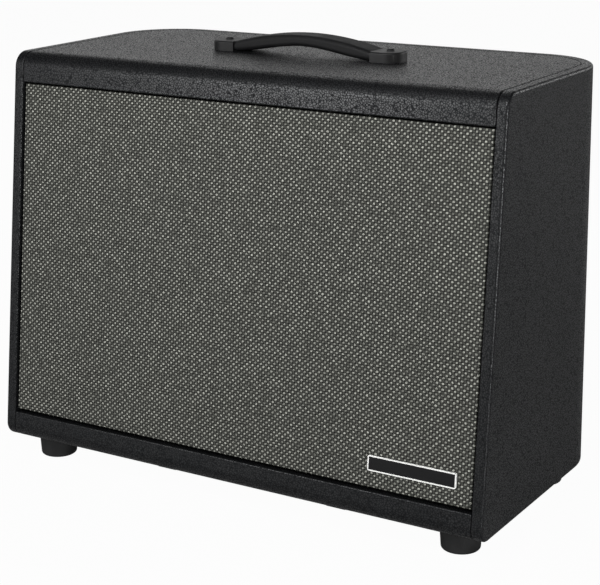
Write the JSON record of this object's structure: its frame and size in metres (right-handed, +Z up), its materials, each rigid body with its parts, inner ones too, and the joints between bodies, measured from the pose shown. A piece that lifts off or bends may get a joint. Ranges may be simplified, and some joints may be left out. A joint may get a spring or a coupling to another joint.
{
  "type": "guitar speaker cabinet",
  "caption": "Black vinyl-covered powered guitar speaker cabinet with leaning woven grille front, rounded rear corners, strap handle, rubber feet and fold-out tilt stand.",
  "frame": {"origin": "on the floor under the middle of the cabinet's bounding box, at the level of the feet's undersides", "axes": "+X to the right seen from the front, +Y to the back, +Z up; the grille faces -Y"},
  "size_m": [0.56, 0.29, 0.4534],
  "materials": {
    "vinyl_cover": "birch plywood wrapped in glued black leather-grain vinyl, satin",
    "back_board": "plywood covered in the same black vinyl, satin",
    "black_plywood": "plywood painted matt black",
    "bare_wood": "planed softwood batten",
    "grille_weave": "open woven grille cloth, grey thread on black",
    "hook_strip": "black hook-and-loop strip",
    "badge_metal": "thin plate, black with a pale polished rim, bare of any mark",
    "handle_rubber": "soft moulded black rubber over a steel band",
    "handle_plastic": "black moulded plastic, fine texture",
    "black_screw": "black oxide steel",
    "zinc_steel": "zinc plated steel",
    "foot_rubber": "moulded black rubber, matt",
    "bail_steel": "steel rod, black powder coat",
    "nylon": "black nylon",
    "cast_basket": "cast aluminium, black paint",
    "cork_gasket": "pressed cork and board",
    "cone_paper": "ribless felted paper, dark grey",
    "pleated_edge": "doped cloth, black",
    "spider_cloth": "resin-dipped cotton, amber",
    "coil_wire": "copper-clad aluminium wire on a former",
    "ferrite": "sintered ferrite, dark grey",
    "horn_plastic": "black moulded plastic",
    "driver_can": "black painted steel can",
    "terminal_board": "brown insulating board",
    "lead_cover": "black insulated wire",
    "panel_paint": "steel, black powder coat",
    "circuit_board": "green solder mask",
    "heat_sink_metal": "extruded, black anodised",
    "capacitor_sleeve": "shrunk plastic sleeve",
    "transformer_steel": "varnished laminations",
    "socket_plastic": "black moulded plastic",
    "rocker_plastic": "black moulded plastic, glossy",
    "button_plastic": "pale grey moulded plastic",
    "knob_plastic": "black moulded plastic, matt"
  },
  "bodies": {
    "cabinet": {"left_side_panel": "vinyl_cover", "right_side_panel": "vinyl_cover", "top_panel": "vinyl_cover", "bottom_panel": "vinyl_cover", "rear_top_rail": "vinyl_cover", "rear_bottom_rail": "vinyl_cover", "top_front_rail": "vinyl_cover", "bottom_front_rail": "vinyl_cover", "back_panel": "back_board", "baffle_board": "black_plywood", "grille_frame": "black_plywood", "back_cleats": "bare_wood", "grille_cloth": "grille_weave", "grille_pads": "hook_strip", "badge_plate": "badge_metal", "handle_strap": "handle_rubber", "handle_cap_left": "handle_plastic", "handle_cap_right": "handle_plastic", "handle_screws": "black_screw", "rear_screws": "black_screw", "base_screws": "black_screw", "speaker_bolts": "black_screw", "speaker_tee_nuts": "zinc_steel", "speaker_top_plate": "zinc_steel", "speaker_back_plate": "zinc_steel", "amp_chassis": "zinc_steel", "potentiometers": "zinc_steel", "foot_front_left": "foot_rubber", "foot_front_right": "foot_rubber", "foot_rear_left": "foot_rubber", "foot_rear_right": "foot_rubber", "bail_pivot_blocks": "nylon", "speaker_basket": "cast_basket", "speaker_gasket": "cork_gasket", "speaker_surround": "pleated_edge", "speaker_spider": "spider_cloth", "speaker_magnet": "ferrite", "hf_waveguide": "horn_plastic", "hf_driver": "driver_can", "speaker_terminal": "terminal_board", "speaker_leads": "lead_cover", "control_panel": "panel_paint", "control_board": "circuit_board", "power_board": "circuit_board", "heat_sink": "heat_sink_metal", "filter_capacitors": "capacitor_sleeve", "power_transformer": "transformer_steel", "input_jack": "socket_plastic", "link_jack": "socket_plastic", "power_inlet": "socket_plastic", "power_switch": "socket_plastic", "lift_switch": "socket_plastic"},
    "cone": {"speaker_cone": "cone_paper", "voice_coil": "coil_wire"},
    "volume_knob": {"volume_knob": "knob_plastic"},
    "voicing_knob": {"voicing_knob": "knob_plastic"},
    "low_cut_knob": {"low_cut_knob": "knob_plastic"},
    "power_rocker": {"power_rocker": "rocker_plastic"},
    "lift_button": {"lift_button": "button_plastic"},
    "tilt_bail": {"tilt_bail": "bail_steel"}
  },
  "joints": [
    {"name": "cone_travel", "type": "slide", "parent": "cabinet", "child": "cone", "axis": [0, -0.9949, 0.1012], "range_m": [-0.004, 0.004], "stiffness_N_per_m": 3000, "deforming": ["speaker_surround", "speaker_spider"]},
    {"name": "volume_turn", "type": "hinge", "parent": "cabinet", "child": "volume_knob", "pos_m": [0.068, 0.137, 0.364], "axis": [0, 1, 0], "range_deg": [-150, 150]},
    {"name": "voicing_turn", "type": "hinge", "parent": "cabinet", "child": "voicing_knob", "pos_m": [0.028, 0.137, 0.364], "axis": [0, 1, 0], "continuous": true},
    {"name": "low_cut_turn", "type": "hinge", "parent": "cabinet", "child": "low_cut_knob", "pos_m": [-0.012, 0.137, 0.364], "axis": [0, 1, 0], "range_deg": [-150, 150]},
    {"name": "power_rock", "type": "hinge", "parent": "cabinet", "child": "power_rocker", "pos_m": [-0.092, 0.127, 0.364], "axis": [1, 0, 0], "range_deg": [0, 16]},
    {"name": "lift_push", "type": "slide", "parent": "cabinet", "child": "lift_button", "axis": [0, -1, 0], "range_m": [0, 0.0025], "stiffness_N_per_m": 400},
    {"name": "bail_fold", "type": "hinge", "parent": "cabinet", "child": "tilt_bail", "pos_m": [0, -0.097, 0.014], "axis": [-1, 0, 0], "range_deg": [0, 105]}
  ]
}
